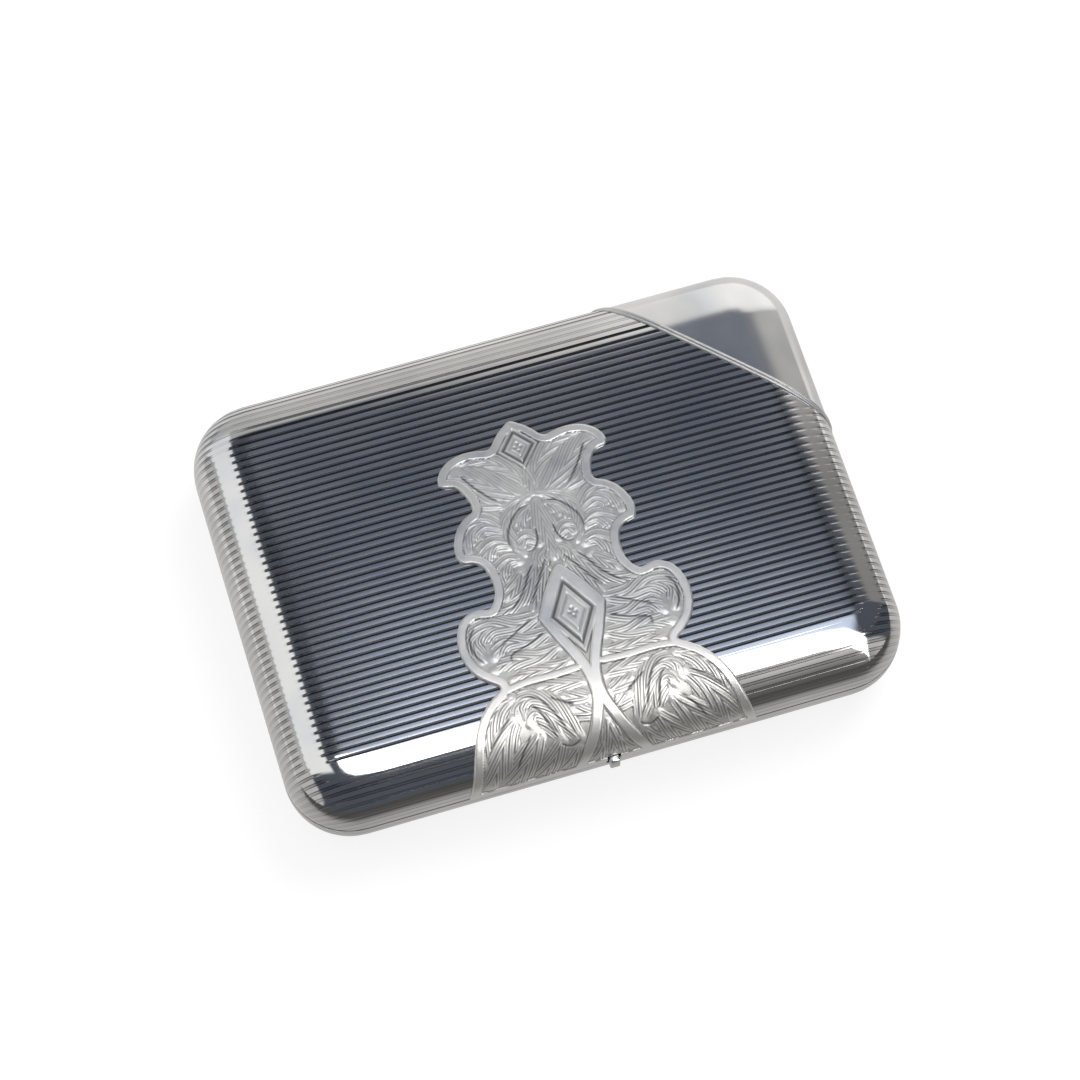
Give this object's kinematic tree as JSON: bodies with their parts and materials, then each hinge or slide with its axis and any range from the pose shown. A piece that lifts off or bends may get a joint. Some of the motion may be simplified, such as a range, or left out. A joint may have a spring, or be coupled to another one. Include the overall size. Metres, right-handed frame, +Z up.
{
  "type": "cigarette case",
  "caption": "Flat rounded metal cigarette case with reeded shells, an engraved leaf cartouche, a plain corner, a back hinge and a front push-piece.",
  "frame": {"origin": "on the resting plane, under the middle of the closed case", "axes": "+X along the long side, +Y from the push-piece to the hinge, +Z up through the lid"},
  "size_m": [0.1106, 0.0836, 0.0201],
  "materials": {
    "silver": "polished, reeded",
    "gilt": "gilded, soft polish",
    "spring_steel": "blued, satin",
    "elastic": "woven"
  },
  "bodies": {
    "base": {"base_shell": "silver", "base_bezel": "gilt", "hinge_pin": "silver", "button_spring": "spring_steel", "spring_post_left": "silver", "spring_post_right": "silver", "spring_rivet_left": "spring_steel", "spring_rivet_right": "spring_steel", "base_strap": "elastic", "base_strap_lug_left": "gilt", "base_strap_lug_right": "gilt", "hinge_knuckle_1": "silver", "hinge_knuckle_3": "silver", "hinge_knuckle_5": "silver", "hinge_knuckle_7": "silver"},
    "lid": {"lid_shell": "silver", "cartouche_plate": "silver", "corner_border": "silver", "catch_tongue": "silver", "lid_strap": "elastic", "lid_strap_lug_left": "gilt", "lid_strap_lug_right": "gilt", "hinge_knuckle_2": "silver", "hinge_knuckle_4": "silver", "hinge_knuckle_6": "silver"},
    "push_piece": {"push_button": "silver"}
  },
  "joints": [
    {"name": "lid_hinge", "type": "hinge", "parent": "base", "child": "lid", "pos_m": [0, 0.0409, 0.0095], "axis": [-1, 0, 0], "range_deg": [0, 150]},
    {"name": "push_piece_slide", "type": "slide", "parent": "base", "child": "push_piece", "axis": [0, 1, 0], "range_m": [0, 0.0008], "stiffness_N_per_m": 800, "deforming": ["button_spring"]}
  ]
}
